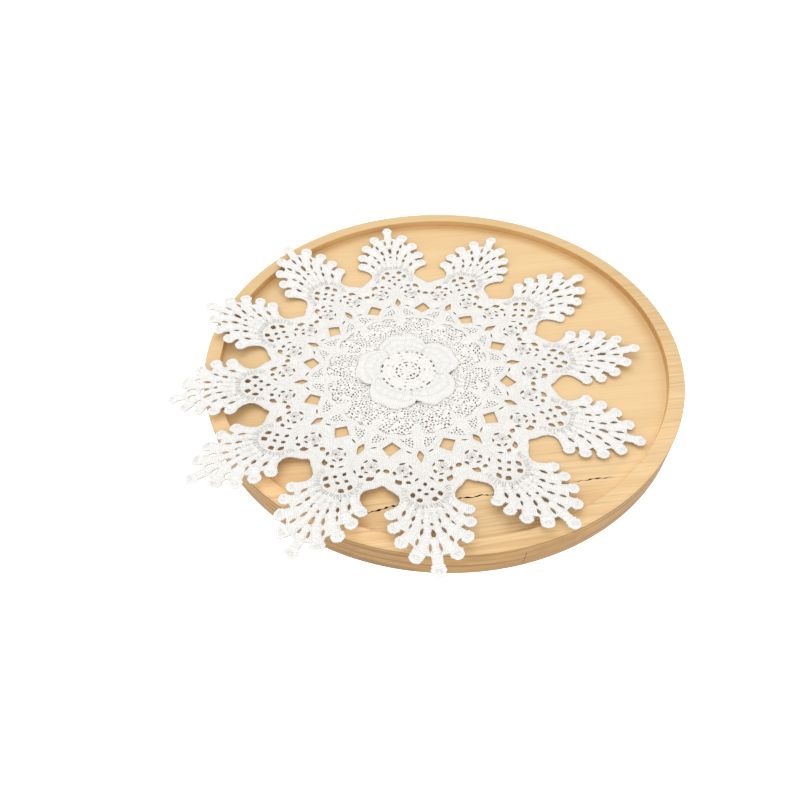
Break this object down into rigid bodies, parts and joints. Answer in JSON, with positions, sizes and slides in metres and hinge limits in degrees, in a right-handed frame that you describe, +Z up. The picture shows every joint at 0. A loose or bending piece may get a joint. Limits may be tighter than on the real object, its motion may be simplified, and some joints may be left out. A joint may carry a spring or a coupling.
{
  "type": "lace doily on a round tray",
  "caption": "Round white lace doily with pointed fans, lying off-centre in a shallow round bamboo tray, its near and left fans out over the rim.",
  "frame": {"origin": "middle of the tray's flat underside", "axes": "+Z up out of the tray, -Y towards the near side, where the doily runs out over the rim"},
  "size_m": [0.3129, 0.3149, 0.0267],
  "materials": {
    "cotton_lace": "matt white cotton thread in satin stitch",
    "bamboo": "smooth oiled bamboo with long straight grain"
  },
  "bodies": {
    "root": {"lace_doily": "cotton_lace", "round_tray": "bamboo"}
  },
  "joints": []
}
